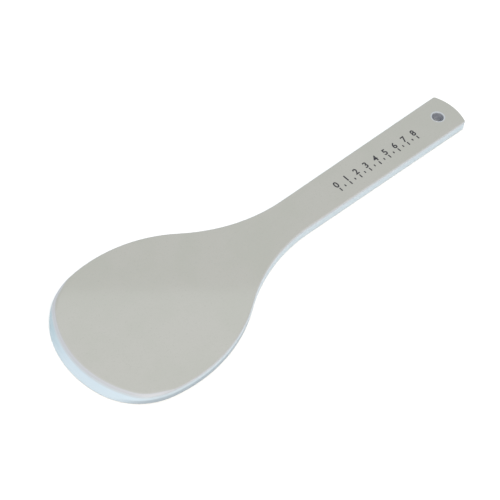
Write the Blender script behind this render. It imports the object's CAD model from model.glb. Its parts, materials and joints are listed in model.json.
import json
from math import cos, pi, radians, sin

import bmesh
import bpy
from bpy.props import FloatProperty, FloatVectorProperty, IntProperty, PointerProperty
from bpy.types import Operator, Panel, PropertyGroup
from mathutils import Matrix, Vector


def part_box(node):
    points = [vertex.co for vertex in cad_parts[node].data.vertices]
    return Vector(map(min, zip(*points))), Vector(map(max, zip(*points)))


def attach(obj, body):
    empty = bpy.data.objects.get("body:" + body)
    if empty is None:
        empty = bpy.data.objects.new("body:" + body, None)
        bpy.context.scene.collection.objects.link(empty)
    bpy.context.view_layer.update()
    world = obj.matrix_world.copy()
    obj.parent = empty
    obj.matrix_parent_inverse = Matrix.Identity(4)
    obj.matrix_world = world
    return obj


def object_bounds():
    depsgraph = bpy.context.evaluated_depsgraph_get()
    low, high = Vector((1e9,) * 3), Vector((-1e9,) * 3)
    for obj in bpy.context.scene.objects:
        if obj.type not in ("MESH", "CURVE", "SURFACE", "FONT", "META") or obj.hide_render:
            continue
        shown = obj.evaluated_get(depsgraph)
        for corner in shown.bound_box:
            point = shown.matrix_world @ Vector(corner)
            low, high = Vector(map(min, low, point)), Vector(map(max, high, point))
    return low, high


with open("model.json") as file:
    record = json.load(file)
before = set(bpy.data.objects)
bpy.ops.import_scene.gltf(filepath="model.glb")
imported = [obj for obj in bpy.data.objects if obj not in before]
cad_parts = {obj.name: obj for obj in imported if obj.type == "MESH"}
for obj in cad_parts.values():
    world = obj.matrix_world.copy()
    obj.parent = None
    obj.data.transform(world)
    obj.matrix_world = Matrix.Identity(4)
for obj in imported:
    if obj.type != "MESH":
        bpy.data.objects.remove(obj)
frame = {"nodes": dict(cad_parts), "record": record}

bl_info = {
    "name": "Rice paddle",
    "version": (1, 0, 0),
    "blender": (4, 5, 0),
    "location": "View3D > Sidebar > Rice paddle",
    "description": "Finishes of a laminated rice paddle, its printed scale and its studio",
    "category": "Object",
}

MILLIMETRE = 0.001
BODY = "root"
# Height of the font's numbers as a share of the font's size
NUMBER_HEIGHT_SHARE = 0.73
# Places of a colour mix node's sockets
MIX_SHARE, MIX_FIRST, MIX_SECOND = 0, 6, 7
RESIN_IOR = 1.5

# Levels of the noise between which each kind of marking fades in
CLOUD_LEVELS = (0.35, 0.65)
SPECK_LEVELS = (0.55, 0.75)
STREAK_LEVELS = (0.3, 0.7)
HOOK_SCUFF_LEVELS = (0.45, 0.7)
THIN_INK_LEVELS = (0.5, 0.75)

# Where the tones on the blade's edge fade, as shares of the blade's half width
# across, and of the scuffed height upwards
SCUFFED_ACROSS_SHARES = (0.55, 0.9)
WORN_LIP_SHARES = (0.05, 0.75)
SCUFFED_HEIGHT_SHARES = (1.3, 0.8)

# How far from the broad face the edge's tone starts and is full, as shares of
# the edge round's height
EDGE_TONE_SHARES = (0.01, 0.5)
# Share of the ring round the hole that has the ring's full tone
RING_FULL_SHARE = 0.5
# Shares of the lip's reach and of the upper tone's height that the tone fades over
LIP_FADE_SHARE = 0.4
UPPER_FADE_SHARE = 0.7

# How much the markings change each roughness, that of the gloss as a share of itself
GLOSS_WEAR_SHARE = 0.2
STREAK_ROUGHNESS_SWING = 0.1
FIBRE_ROUGHNESS_SWING = 0.2
HOOK_SCUFF_ROUGHNESS = 0.15
THIN_INK_ROUGHNESS = 0.2

# Depth of the bumps that follow a marking, as a share of the marking's size
FIBRE_DEPTH_SHARE = 0.1
HOOK_SCUFF_DEPTH_SHARE = 0.01
THIN_INK_DEPTH_SHARE = 0.5

# How many times their width the wood's rings and fibres measure along X, Y and Z
RING_STRETCH = (60, 1, 3)
FIBRE_STRETCH = (40, 1, 1)
# Scale at which the wave texture has about one band in each unit
WAVE_SCALE = 0.3
RING_DISTORTION = 3.0
# Parts of the wood's dark tone that come from its rings and its fibres
RING_SHARE = 0.6
FIBRE_SHARE = 0.4

# Corner bevel of a printed mark as a share of its width
MARK_CORNER_SHARE = 0.25
MARK_CORNER_SEGMENTS = 3
NUMBER_CURVE_STEPS = 4
FLOOR_SEGMENTS = 96

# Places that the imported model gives
cad_low, cad_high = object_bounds()
top_sheet_low, top_sheet_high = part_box("top_face_sheet")
face_height = top_sheet_high.z
mid_height = face_height / 2
blade_half_width = cad_high.y
mounts = {mount["name"]: mount for mount in frame["record"]["mounts"]}
hanging_hole = mounts["hanging_hole"]
hole_place = Vector(hanging_hole["pos_m"])
hole_radius = hanging_hole["dims"]["r_mm"] * MILLIMETRE


def length_property(name, description, default):
    """A size in metres that Blender shows with its unit."""
    return FloatProperty(
        name=name, description=description, default=default, min=0.0, precision=5, unit="LENGTH"
    )


def share_property(name, description, default):
    """A number from none to all."""
    return FloatProperty(
        name=name, description=description, default=default, min=0.0, max=1.0, subtype="FACTOR"
    )


def angle_property(name, description, default_degrees):
    """An angle that Blender shows in degrees."""
    return FloatProperty(
        name=name, description=description, default=radians(default_degrees), subtype="ANGLE"
    )


def colour_property(name, description, default):
    """A linear colour."""
    return FloatVectorProperty(
        name=name, description=description, default=default, min=0.0, max=1.0, subtype="COLOR"
    )


class FaceFinishSettings(PropertyGroup):
    """Finish of the two resin face sheets."""

    colour: colour_property(
        "Colour", "Warm grey of the resin", (0.350, 0.354, 0.326)
    )
    cloud_colour: colour_property(
        "Cloud colour", "Tone of the faint clouds in the resin", (0.361, 0.361, 0.337)
    )
    edge_colour: colour_property(
        "Edge colour", "Tone of the polished round along the upper edges", (0.424, 0.438, 0.468)
    )
    lower_edge_colour: colour_property(
        "Lower edge colour", "Tone of the polished round along the lower edges", (0.43, 0.495, 0.54)
    )
    speck_colour: colour_property(
        "Speck colour", "Tone of the fine specks", (0.333, 0.337, 0.310)
    )
    hole_ring_colour: colour_property(
        "Hole ring colour", "Tone of the resin laid bare round the drilled hole", (0.42, 0.445, 0.475)
    )
    cloud_size: length_property(
        "Cloud size", "Width of a faint cloud", 24 * MILLIMETRE
    )
    speck_size: length_property(
        "Speck size", "Width of a fine speck", 1.1 * MILLIMETRE
    )
    edge_round: length_property(
        "Edge round", "Height of the polished round along the edges", 1.0 * MILLIMETRE
    )
    hole_ring_width: length_property(
        "Hole ring width", "Width of the lighter ring round the hole", 1.3 * MILLIMETRE
    )
    gloss_roughness: share_property(
        "Roughness", "Roughness of the moulded face", 0.06
    )
    edge_roughness: share_property(
        "Edge roughness", "Roughness of the polished round", 0.4
    )
    peel_size: length_property(
        "Peel size", "Width of the bumps of the fine orange peel", 1.6 * MILLIMETRE
    )
    peel_depth: length_property(
        "Peel depth", "Depth of the fine orange peel", 0.0022 * MILLIMETRE
    )


class RimFinishSettings(PropertyGroup):
    """Finish of the resin rim."""

    lip_colour: colour_property(
        "Lip colour", "Cool white of the freshly milled lip", (0.488, 0.580, 0.652)
    )
    worn_lip_colour: colour_property(
        "Worn lip colour", "Deeper tone of the lip's more worn end", (0.325, 0.442, 0.498)
    )
    wall_colour: colour_property(
        "Wall colour", "Cool white of the side walls", (0.448, 0.522, 0.572)
    )
    upper_colour: colour_property(
        "Upper colour", "Greyer tone close to the upper face sheet", (0.450, 0.492, 0.530)
    )
    upper_height: length_property(
        "Upper height", "How far below the upper face sheet the greyer tone starts", 1.4 * MILLIMETRE
    )
    streak_colour: colour_property(
        "Streak colour", "Tone of the faint streaks that milling leaves", (0.530, 0.610, 0.670)
    )
    streak_strength: share_property(
        "Streak strength", "How much the streaks lighten the resin", 0.3
    )
    lip_reach: length_property(
        "Lip reach", "How far behind the tip the lip's tone reaches", 32 * MILLIMETRE
    )
    streak_length: length_property(
        "Streak length", "Length of a streak along the edge", 9 * MILLIMETRE
    )
    streak_height: length_property(
        "Streak height", "Height of a streak", 0.7 * MILLIMETRE
    )
    scuffed_colour: colour_property(
        "Scuffed colour", "Tone that pots have rubbed into the blade's lower edge", (0.30, 0.36, 0.41)
    )
    scuffed_height: length_property(
        "Scuffed height", "How far up the blade's edge is scuffed", 4.2 * MILLIMETRE
    )
    roughness: share_property(
        "Roughness", "Roughness of the milled resin", 0.42
    )
    grain_size: length_property(
        "Grain size", "Width of the milling grain", 0.5 * MILLIMETRE
    )
    grain_depth: length_property(
        "Grain depth", "Depth of the milling grain", 0.006 * MILLIMETRE
    )
    translucency: share_property(
        "Translucency", "Share of the light that spreads inside the resin", 0.12
    )
    light_spread: length_property(
        "Light spread", "How far light spreads inside the resin", 1.5 * MILLIMETRE
    )


class CoreFinishSettings(PropertyGroup):
    """Finish of the wooden core board."""

    pale_colour: colour_property(
        "Pale colour", "Tone of the early wood", (0.62, 0.47, 0.30)
    )
    dark_colour: colour_property(
        "Dark colour", "Tone of the late wood", (0.42, 0.28, 0.15)
    )
    ring_width: length_property(
        "Ring width", "Width of a growth ring", 4 * MILLIMETRE
    )
    fibre_size: length_property(
        "Fibre size", "Width of a fibre", 0.6 * MILLIMETRE
    )
    roughness: share_property(
        "Roughness", "Roughness of the sanded wood", 0.65
    )


class SleeveFinishSettings(PropertyGroup):
    """Finish of the sleeve that lines the hanging hole."""

    colour: colour_property(
        "Colour", "Blue grey of the sleeve", (0.28, 0.30, 0.35)
    )
    scuff_colour: colour_property(
        "Scuff colour", "Tone that hooks have rubbed into the wall", (0.38, 0.40, 0.44)
    )
    scuff_size: length_property(
        "Scuff size", "Width of a scuff", 1.5 * MILLIMETRE
    )
    roughness: share_property(
        "Roughness", "Roughness of the wall", 0.4
    )


class PrintedScaleSettings(PropertyGroup):
    """Plain scale that is printed along the handle."""

    last_mark_from_hole: length_property(
        "Last mark", "Distance of the last mark from the hole's centre", 27 * MILLIMETRE
    )
    mark_spacing: length_property(
        "Spacing", "Distance between two numbered marks", 10 * MILLIMETRE
    )
    numbered_marks: IntProperty(
        name="Numbered marks", description="How many marks have a number", default=9, min=2
    )
    line_from_middle: length_property(
        "Line off the middle", "Distance of the scale's line from the handle's middle", 3.0 * MILLIMETRE
    )
    mark_length: length_property(
        "Mark length", "Length of a numbered mark", 3.2 * MILLIMETRE
    )
    short_mark_length: length_property(
        "Short mark length", "Length of a mark between two numbers", 1.9 * MILLIMETRE
    )
    mark_width: length_property(
        "Mark width", "Width of a mark", 1.0 * MILLIMETRE
    )
    number_height: length_property(
        "Number height", "Height of a number", 5.4 * MILLIMETRE
    )
    number_gap: length_property(
        "Number gap", "Space between a mark and its number", 1.0 * MILLIMETRE
    )
    stroke_gain: length_property(
        "Stroke gain", "How much the ink widens each stroke of a number", 0.18 * MILLIMETRE
    )
    ink_thickness: length_property(
        "Ink thickness", "Thickness of the dried ink", 0.03 * MILLIMETRE
    )
    ink_colour: colour_property(
        "Ink colour", "Black of the ink", (0.012, 0.011, 0.016)
    )
    faded_colour: colour_property(
        "Faded colour", "Tone of the ink where it is thin", (0.045, 0.043, 0.050)
    )
    ink_roughness: share_property(
        "Ink roughness", "Roughness of the dried ink", 0.38
    )


class StudioSettings(PropertyGroup):
    """Floor, lights and camera."""

    floor_radius: length_property(
        "Floor radius", "Radius of the floor", 6.0
    )
    floor_gap: length_property(
        "Floor gap", "Gap that keeps the floor off the face that rests on it", 0.05 * MILLIMETRE
    )
    floor_colour: colour_property(
        "Floor colour", "Near white of the floor", (0.95, 0.95, 0.94)
    )
    floor_roughness: share_property(
        "Floor roughness", "Roughness of the floor", 0.9
    )
    sky_colour: colour_property(
        "Sky colour", "Colour of the light that comes from all round", (0.93, 0.97, 1.0)
    )
    sky_radiance: FloatProperty(
        name="Sky radiance", description="Strength of the light from all round", default=0.72, min=0.0
    )
    box_height: length_property(
        "Box height", "Height of the overhead light box", 1.2
    )
    box_depth: length_property(
        "Box depth", "Size of the overhead light box away from the camera", 1.2
    )
    box_width: length_property(
        "Box width", "Size of the overhead light box across the view", 1.8
    )
    box_far_edge: length_property(
        "Box far edge", "Distance of the box's far edge from the paddle's middle", 0.79
    )
    box_heading: angle_property(
        "Box heading", "Direction in which the box's far edge lies", 51.2
    )
    box_radiance: FloatProperty(
        name="Box radiance", description="Brightness of the overhead light box", default=1.05, min=0.0
    )
    key_colour: colour_property(
        "Key colour", "Warm white of the key light", (1.0, 0.90, 0.80)
    )
    key_radiance: FloatProperty(
        name="Key radiance", description="Brightness of the key light", default=6.0, min=0.0
    )
    key_size: length_property(
        "Key size", "Side of the square key light", 1.2
    )
    key_distance: length_property(
        "Key distance", "Distance of the key light", 2.2
    )
    key_heading: angle_property(
        "Key heading", "Direction from which the key light comes", -125.0
    )
    key_elevation: angle_property(
        "Key elevation", "Angle of the key light above the floor", 50.0
    )
    camera_heading: angle_property(
        "Camera heading", "Direction in which the camera looks, from +Y towards -X", -47.851
    )
    camera_elevation: angle_property(
        "Camera elevation", "Angle of the camera above the floor", 52.5
    )
    camera_roll: angle_property(
        "Camera roll", "Turn of the camera about its line of sight", 7.0
    )
    camera_distance: length_property(
        "Camera distance", "Distance of the camera from the point that it looks at", 0.87859
    )
    aim_x: length_property(
        "Aim along", "How far the camera aims from the paddle's middle, towards the blade", 0.025828
    )
    aim_y: length_property(
        "Aim across", "How far the camera aims off the paddle's long axis", 0.000877
    )
    lens_length: FloatProperty(
        name="Lens", description="Focal length in millimetres", default=92.095, min=1.0
    )
    sensor_width: FloatProperty(
        name="Sensor", description="Width of the sensor in millimetres", default=36.0, min=1.0
    )


class RicePaddleSettings(PropertyGroup):
    """All settings of the rice paddle."""

    face: PointerProperty(type=FaceFinishSettings)
    rim: PointerProperty(type=RimFinishSettings)
    core: PointerProperty(type=CoreFinishSettings)
    sleeve: PointerProperty(type=SleeveFinishSettings)
    scale: PointerProperty(type=PrintedScaleSettings)
    studio: PointerProperty(type=StudioSettings)


class Signal:
    """A shader socket that can stand in a Python sum."""

    def __init__(self, graph, socket):
        self.graph = graph
        self.socket = socket

    def output(self, name):
        """Another output of the same node."""
        return Signal(self.graph, self.socket.node.outputs[name])

    def maths(self, operation, first, second):
        """What a maths node makes of two values."""
        return self.graph.node("ShaderNodeMath", {"operation": operation}, {0: first, 1: second})

    def __add__(self, other):
        return self.maths("ADD", self, other)

    def __radd__(self, other):
        return self.maths("ADD", other, self)

    def __sub__(self, other):
        return self.maths("SUBTRACT", self, other)

    def __rsub__(self, other):
        return self.maths("SUBTRACT", other, self)

    def __mul__(self, other):
        return self.maths("MULTIPLY", self, other)

    def __rmul__(self, other):
        return self.maths("MULTIPLY", other, self)

    def __abs__(self):
        return self.graph.node("ShaderNodeMath", {"operation": "ABSOLUTE"}, {0: self})


class Finish:
    """The node tree of one material."""

    def __init__(self, name):
        self.material = bpy.data.materials.new(name)
        self.material.use_nodes = True
        self.nodes = self.material.node_tree.nodes
        self.links = self.material.node_tree.links
        self.nodes.clear()

    def node(self, kind, settings=None, sockets=None):
        """Adds a node, sets its settings and then its sockets, and gives its first output in use."""
        made = self.nodes.new(kind)
        for name, value in (settings or {}).items():
            setattr(made, name, value)
        for name, value in (sockets or {}).items():
            if isinstance(value, Signal):
                self.links.new(value.socket, made.inputs[name])
            else:
                made.inputs[name].default_value = value
        in_use = [socket for socket in made.outputs if socket.enabled]
        return Signal(self, in_use[0]) if in_use else None

    def place(self):
        """The point of the piece that is being shaded, in metres."""
        return self.node("ShaderNodeTexCoord").output("Object")

    def coordinates(self, place):
        """The three coordinates of a place."""
        split = self.node("ShaderNodeSeparateXYZ", {}, {"Vector": place})
        return [split.output(axis) for axis in "XYZ"]

    def stretched(self, place, sizes):
        """The place counted in these sizes along X, Y and Z."""
        scales = [1 / size for size in sizes]
        return self.node("ShaderNodeMapping", {}, {"Vector": place, "Scale": scales})

    def noise(self, place, size, detail=2.0):
        """Smooth noise from 0 to 1 whose features are about this wide."""
        return self.node(
            "ShaderNodeTexNoise",
            {"noise_dimensions": "3D"},
            {"Vector": place, "Scale": 1 / size, "Detail": detail},
        )

    def fade(self, value, start, end):
        """0 on start's side, 1 on end's side, and smooth between them."""
        return self.node(
            "ShaderNodeMapRange",
            {"interpolation_type": "SMOOTHSTEP"},
            {"Value": value, "From Min": start, "From Max": end},
        )

    def blend(self, share, first, second):
        """The first colour where share is 0 and the second where it is 1."""
        return self.node(
            "ShaderNodeMix",
            {"data_type": "RGBA"},
            {MIX_SHARE: share, MIX_FIRST: first, MIX_SECOND: second},
        )

    def bumps(self, height, depth):
        """A normal that follows the height, which runs from 0 to depth metres."""
        return self.node("ShaderNodeBump", {}, {"Height": height, "Strength": 1.0, "Distance": depth})

    def surface(self, sockets):
        """Ends the tree with a Principled shader and gives the material."""
        shader = self.node("ShaderNodeBsdfPrincipled", {}, sockets)
        self.node("ShaderNodeOutputMaterial", {}, {"Surface": shader})
        return self.material


def opaque(colour):
    """A colour with its alpha."""
    return (*colour, 1.0)


def dress(node, material):
    """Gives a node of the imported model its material."""
    slots = frame["nodes"][node].data.materials
    slots.clear()
    slots.append(material)


def scuffed(finish, settings, colour, across, height):
    """The colour with the tone that pots rub into the lower edge of the blade's sides."""
    none_above, full_below = [share * settings.scuffed_height for share in SCUFFED_HEIGHT_SHARES]
    low = finish.fade(height, none_above, full_below)
    inner, outer = [share * blade_half_width for share in SCUFFED_ACROSS_SHARES]
    sideways = finish.fade(abs(across), inner, outer)
    return finish.blend(low * sideways, colour, opaque(settings.scuffed_colour))


def face_resin(name, settings, rim_settings, edge_colour):
    """Warm grey resin with a fine orange peel, polished along its edges and bare round the hole."""
    finish = Finish(name)
    place = finish.place()
    clouds = finish.fade(finish.noise(place, settings.cloud_size, detail=3.0), *CLOUD_LEVELS)
    specks = finish.fade(finish.noise(place, settings.speck_size), *SPECK_LEVELS)
    colour = finish.blend(clouds, opaque(settings.colour), opaque(settings.cloud_colour))
    colour = finish.blend(specks, colour, opaque(settings.speck_colour))

    along, across, height = finish.coordinates(place)
    from_middle = abs(height - mid_height)
    tone_start, tone_full = [mid_height - share * settings.edge_round for share in EDGE_TONE_SHARES]
    edge = finish.fade(from_middle, tone_start, tone_full)
    edge_colour = scuffed(finish, rim_settings, opaque(edge_colour), across, height)
    colour = finish.blend(edge, colour, edge_colour)

    offset = finish.node(
        "ShaderNodeCombineXYZ", {}, {"X": along - hole_place.x, "Y": across - hole_place.y}
    )
    from_hole = finish.node("ShaderNodeVectorMath", {"operation": "LENGTH"}, {0: offset})
    ring_end = hole_radius + settings.hole_ring_width
    ring_full = hole_radius + RING_FULL_SHARE * settings.hole_ring_width
    ring = finish.fade(from_hole, ring_end, ring_full)
    colour = finish.blend(ring, colour, opaque(settings.hole_ring_colour))

    rise = settings.edge_roughness - settings.gloss_roughness
    wear = finish.noise(place, settings.cloud_size)
    worn_rise = GLOSS_WEAR_SHARE * settings.gloss_roughness
    roughness = settings.gloss_roughness + edge * rise + wear * worn_rise
    peel = finish.noise(place, settings.peel_size, detail=1.0)
    return finish.surface({
        "Base Color": colour,
        "Roughness": roughness,
        "IOR": RESIN_IOR,
        "Normal": finish.bumps(peel, settings.peel_depth),
    })


def rim_resin(settings):
    """Cool white resin with the faint streaks and the grain that milling leaves."""
    finish = Finish("rim_resin")
    place = finish.place()
    streak_sizes = (settings.streak_length, settings.streak_length, settings.streak_height)
    streaks = finish.noise(finish.stretched(place, streak_sizes), 1.0)
    streaks = finish.fade(streaks, *STREAK_LEVELS)
    along, across, height = finish.coordinates(place)
    fresh_end, worn_start = [share * blade_half_width for share in WORN_LIP_SHARES]
    worn = finish.fade(across, fresh_end, worn_start)
    lip = finish.blend(worn, opaque(settings.lip_colour), opaque(settings.worn_lip_colour))
    lip_end = cad_low.x + settings.lip_reach
    walls = finish.fade(along, lip_end - LIP_FADE_SHARE * settings.lip_reach, lip_end)
    colour = finish.blend(walls, lip, opaque(settings.wall_colour))
    streaked = streaks * settings.streak_strength
    colour = finish.blend(streaked, colour, opaque(settings.streak_colour))
    upper_start = top_sheet_low.z - settings.upper_height
    upper_full = upper_start + UPPER_FADE_SHARE * settings.upper_height
    upper = finish.fade(height, upper_start, upper_full)
    colour = finish.blend(upper, colour, opaque(settings.upper_colour))
    colour = scuffed(finish, settings, colour, across, height)
    grain = finish.noise(place, settings.grain_size)
    roughness = settings.roughness + (streaks - 0.5) * STREAK_ROUGHNESS_SWING
    return finish.surface({
        "Base Color": colour,
        "Roughness": roughness,
        "IOR": RESIN_IOR,
        "Subsurface Weight": settings.translucency,
        "Subsurface Radius": (1.0, 1.0, 1.0),
        "Subsurface Scale": settings.light_spread,
        "Normal": finish.bumps(grain, settings.grain_depth),
    })


def core_wood(settings):
    """Sanded wood with growth rings along the paddle."""
    finish = Finish("core_wood")
    place = finish.place()
    ring_sizes = [stretch * settings.ring_width for stretch in RING_STRETCH]
    rings = finish.node(
        "ShaderNodeTexWave",
        {"wave_type": "BANDS", "bands_direction": "Y"},
        {
            "Vector": finish.stretched(place, ring_sizes),
            "Scale": WAVE_SCALE,
            "Distortion": RING_DISTORTION,
            "Detail": 3.0,
        },
    ).output("Fac")
    fibre_sizes = [stretch * settings.fibre_size for stretch in FIBRE_STRETCH]
    fibres = finish.noise(finish.stretched(place, fibre_sizes), 1.0, detail=4.0)
    late_wood = rings * RING_SHARE + fibres * FIBRE_SHARE
    colour = finish.blend(late_wood, opaque(settings.pale_colour), opaque(settings.dark_colour))
    return finish.surface({
        "Base Color": colour,
        "Roughness": settings.roughness + (fibres - 0.5) * FIBRE_ROUGHNESS_SWING,
        "Normal": finish.bumps(fibres, FIBRE_DEPTH_SHARE * settings.fibre_size),
    })


def sleeve_resin(settings):
    """Blue grey resin that hooks have scuffed."""
    finish = Finish("sleeve_resin")
    place = finish.place()
    scuffs = finish.noise(place, settings.scuff_size, detail=4.0)
    scuffs = finish.fade(scuffs, *HOOK_SCUFF_LEVELS)
    colour = finish.blend(scuffs, opaque(settings.colour), opaque(settings.scuff_colour))
    return finish.surface({
        "Base Color": colour,
        "Roughness": settings.roughness + scuffs * HOOK_SCUFF_ROUGHNESS,
        "Normal": finish.bumps(scuffs, HOOK_SCUFF_DEPTH_SHARE * settings.scuff_size),
    })


def print_ink(settings):
    """Black ink that is thin in places."""
    finish = Finish("print_ink")
    place = finish.place()
    thin = finish.fade(finish.noise(place, settings.mark_width, detail=3.0), *THIN_INK_LEVELS)
    colour = finish.blend(thin, opaque(settings.ink_colour), opaque(settings.faded_colour))
    return finish.surface({
        "Base Color": colour,
        "Roughness": settings.ink_roughness + thin * THIN_INK_ROUGHNESS,
        "Normal": finish.bumps(thin, THIN_INK_DEPTH_SHARE * settings.ink_thickness),
    })


def floor_paper(settings):
    """Matt near white paper."""
    finish = Finish("floor_paper")
    return finish.surface({
        "Base Color": opaque(settings.floor_colour),
        "Roughness": settings.floor_roughness,
        "Specular IOR Level": 0.0,
    })


def linked(name, data):
    """A new object in the scene that holds this data."""
    made = bpy.data.objects.new(name, data)
    bpy.context.scene.collection.objects.link(made)
    return made


def object_from(form, name, material):
    """Turns a bmesh into an object at the origin and frees it."""
    mesh = bpy.data.meshes.new(name)
    form.to_mesh(mesh)
    form.free()
    mesh.materials.append(material)
    return linked(name, mesh)


def add_mark(form, settings, x, length):
    """Adds one mark of the scale, which ends at the scale's line and lies on the face."""
    size = Vector((settings.mark_width, length, settings.ink_thickness))
    y = -settings.line_from_middle - length / 2
    centre = Vector((x, y, face_height + settings.ink_thickness / 2))
    matrix = Matrix.LocRotScale(centre, None, size)
    cube = bmesh.ops.create_cube(form, size=1.0, matrix=matrix)
    upright = [
        edge
        for edge in {edge for corner in cube["verts"] for edge in corner.link_edges}
        if abs(edge.verts[0].co.z - edge.verts[1].co.z) > settings.ink_thickness / 2
    ]
    bmesh.ops.bevel(
        form,
        geom=upright,
        offset=MARK_CORNER_SHARE * settings.mark_width,
        offset_type="OFFSET",
        affect="EDGES",
        segments=MARK_CORNER_SEGMENTS,
        profile=0.5,
        material=-1,
    )


def add_number(form, settings, x, number):
    """Adds one number beside its mark, which reads from the blade to the handle's end."""
    text = bpy.data.curves.new("number", "FONT")
    text.body = str(number)
    text.size = settings.number_height / NUMBER_HEIGHT_SHARE
    text.align_x = "CENTER"
    text.align_y = "BOTTOM_BASELINE"
    text.offset = settings.stroke_gain
    text.extrude = settings.ink_thickness / 2
    text.resolution_u = NUMBER_CURVE_STEPS
    holder = linked("number", text)
    mesh = bpy.data.meshes.new_from_object(holder)
    y = settings.number_gap - settings.line_from_middle
    mesh.transform(Matrix.Translation((x, y, face_height + text.extrude)))
    form.from_mesh(mesh)
    bpy.data.objects.remove(holder)
    bpy.data.curves.remove(text)
    bpy.data.meshes.remove(mesh)


class PADDLE_OT_face_sheets(Operator):
    """Gives the two resin face sheets their finish"""

    bl_idname = "paddle.face_sheets"
    bl_label = "Finish the face sheets"

    def execute(self, context):
        paddle = context.scene.rice_paddle
        face, rim = paddle.face, paddle.rim
        upper = face_resin("upper_face_resin", face, rim, face.edge_colour)
        lower = face_resin("lower_face_resin", face, rim, face.lower_edge_colour)
        dress("top_face_sheet", upper)
        dress("bottom_face_sheet", lower)
        return {"FINISHED"}


class PADDLE_OT_edge_rim(Operator):
    """Gives the resin rim its finish"""

    bl_idname = "paddle.edge_rim"
    bl_label = "Finish the edge rim"

    def execute(self, context):
        dress("edge_rim", rim_resin(context.scene.rice_paddle.rim))
        return {"FINISHED"}


class PADDLE_OT_core_board(Operator):
    """Gives the wooden core board its finish"""

    bl_idname = "paddle.core_board"
    bl_label = "Finish the core board"

    def execute(self, context):
        dress("core_board", core_wood(context.scene.rice_paddle.core))
        return {"FINISHED"}


class PADDLE_OT_hanging_hole_sleeve(Operator):
    """Gives the sleeve in the hanging hole its finish"""

    bl_idname = "paddle.hanging_hole_sleeve"
    bl_label = "Finish the hanging hole's sleeve"

    def execute(self, context):
        dress("hanging_hole_sleeve", sleeve_resin(context.scene.rice_paddle.sleeve))
        return {"FINISHED"}


class PADDLE_OT_printed_scale(Operator):
    """Prints a plain scale along the handle"""

    bl_idname = "paddle.printed_scale"
    bl_label = "Print the scale"

    def execute(self, context):
        settings = context.scene.rice_paddle.scale
        last_x = hole_place.x - settings.last_mark_from_hole
        last_number = settings.numbered_marks - 1
        form = bmesh.new()
        for number in range(settings.numbered_marks):
            x = last_x - (last_number - number) * settings.mark_spacing
            add_mark(form, settings, x, settings.mark_length)
            add_number(form, settings, x, number)
            if number < last_number:
                add_mark(form, settings, x + settings.mark_spacing / 2, settings.short_mark_length)
        weld_distance = settings.ink_thickness / 100
        bmesh.ops.remove_doubles(form, verts=form.verts, dist=weld_distance)
        bmesh.ops.recalc_face_normals(form, faces=form.faces)
        printed = object_from(form, "printed_scale", print_ink(settings))
        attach(printed, BODY)
        return {"FINISHED"}


def add_floor(settings):
    """A round floor that the paddle lies on."""
    form = bmesh.new()
    matrix = Matrix.Translation((0.0, 0.0, -settings.floor_gap))
    bmesh.ops.create_circle(
        form, cap_ends=True, segments=FLOOR_SEGMENTS, radius=settings.floor_radius, matrix=matrix
    )
    floor = object_from(form, "floor", floor_paper(settings))


def add_sky(settings):
    """Even light from all round."""
    world = bpy.data.worlds.new("sky")
    world.use_nodes = True
    background = world.node_tree.nodes["Background"]
    background.inputs["Color"].default_value = opaque(settings.sky_colour)
    background.inputs["Strength"].default_value = settings.sky_radiance
    bpy.context.scene.world = world


def add_light_box(name, place, turn, width, depth, radiance, colour):
    """A flat light, which before its turn shines straight down with its depth along Y."""
    light = bpy.data.lights.new(name, "AREA")
    light.shape = "RECTANGLE"
    light.size = width
    light.size_y = depth
    light.energy = radiance * pi * width * depth
    light.color = colour
    box = linked(name, light)
    box.location = place
    box.rotation_mode = "QUATERNION"
    box.rotation_quaternion = turn


def add_overhead_box(settings):
    """The light box that the blade mirrors."""
    heading = Vector((cos(settings.box_heading), sin(settings.box_heading), 0.0))
    place = heading * (settings.box_far_edge - settings.box_depth / 2)
    place.z = settings.box_height
    turn = Matrix.Rotation(settings.box_heading - pi / 2, 4, "Z").to_quaternion()
    add_light_box(
        "overhead_box",
        place,
        turn,
        settings.box_width,
        settings.box_depth,
        settings.box_radiance,
        settings.sky_colour,
    )


def add_key_light(settings):
    """The warmer light that gives the sides their shade."""
    level = cos(settings.key_elevation)
    direction = Vector((
        cos(settings.key_heading) * level,
        sin(settings.key_heading) * level,
        sin(settings.key_elevation),
    ))
    place = direction * settings.key_distance
    add_light_box(
        "key_light",
        place,
        (-place).to_track_quat("-Z", "Y"),
        settings.key_size,
        settings.key_size,
        settings.key_radiance,
        settings.key_colour,
    )


def add_camera(settings):
    """The camera at the photograph's viewing angle."""
    heading = settings.camera_heading
    level = cos(settings.camera_elevation)
    back = Vector((sin(heading) * level, -cos(heading) * level, sin(settings.camera_elevation)))
    level_right = Vector((cos(heading), sin(heading), 0.0))
    level_up = back.cross(level_right)
    right = level_right * cos(settings.camera_roll) + level_up * sin(settings.camera_roll)
    up = back.cross(right)
    aim = Vector((-settings.aim_x, settings.aim_y, 0.0))
    camera = bpy.data.cameras.new("camera")
    camera.lens = settings.lens_length
    camera.sensor_width = settings.sensor_width
    holder = linked("camera", camera)
    holder.location = aim + back * settings.camera_distance
    holder.rotation_mode = "QUATERNION"
    holder.rotation_quaternion = Matrix((right, up, back)).transposed().to_quaternion()
    bpy.context.scene.camera = holder


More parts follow.
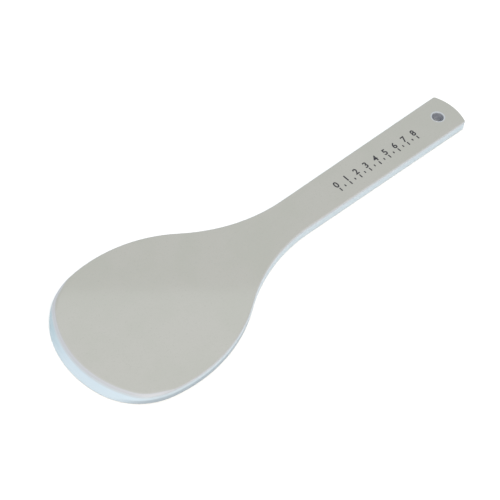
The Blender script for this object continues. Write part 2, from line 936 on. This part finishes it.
class PADDLE_OT_studio(Operator):
    """Makes the floor, the lights and the camera"""

    bl_idname = "paddle.studio"
    bl_label = "Set up the studio"

    def execute(self, context):
        settings = context.scene.rice_paddle.studio
        add_floor(settings)
        add_sky(settings)
        add_overhead_box(settings)
        add_key_light(settings)
        add_camera(settings)
        context.scene.view_settings.view_transform = "Standard"
        return {"FINISHED"}


class VIEW3D_PT_rice_paddle(Panel):
    """Lists the steps that finish the rice paddle"""

    bl_label = "Rice paddle"
    bl_space_type = "VIEW_3D"
    bl_region_type = "UI"
    bl_category = "Rice paddle"

    def draw(self, context):
        settings = context.scene.rice_paddle
        for title, group, operator in (
            ("Face sheets", settings.face, PADDLE_OT_face_sheets),
            ("Edge rim", settings.rim, PADDLE_OT_edge_rim),
            ("Core board", settings.core, PADDLE_OT_core_board),
            ("Sleeve", settings.sleeve, PADDLE_OT_hanging_hole_sleeve),
            ("Printed scale", settings.scale, PADDLE_OT_printed_scale),
            ("Studio", settings.studio, PADDLE_OT_studio),
        ):
            box = self.layout.box()
            box.label(text=title)
            for name in group.__annotations__:
                box.prop(group, name)
            box.operator(operator.bl_idname)


classes = (
    FaceFinishSettings,
    RimFinishSettings,
    CoreFinishSettings,
    SleeveFinishSettings,
    PrintedScaleSettings,
    StudioSettings,
    RicePaddleSettings,
    PADDLE_OT_face_sheets,
    PADDLE_OT_edge_rim,
    PADDLE_OT_core_board,
    PADDLE_OT_hanging_hole_sleeve,
    PADDLE_OT_printed_scale,
    PADDLE_OT_studio,
    VIEW3D_PT_rice_paddle,
)


def register():
    for cls in classes:
        bpy.utils.register_class(cls)
    bpy.types.Scene.rice_paddle = PointerProperty(type=RicePaddleSettings)


def unregister():
    del bpy.types.Scene.rice_paddle
    for cls in reversed(classes):
        bpy.utils.unregister_class(cls)


def main():
    """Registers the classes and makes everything."""
    register()
    bpy.ops.paddle.studio()
    bpy.ops.paddle.face_sheets()
    bpy.ops.paddle.edge_rim()
    bpy.ops.paddle.core_board()
    bpy.ops.paddle.hanging_hole_sleeve()
    bpy.ops.paddle.printed_scale()


if __name__ == "__main__":
    main()
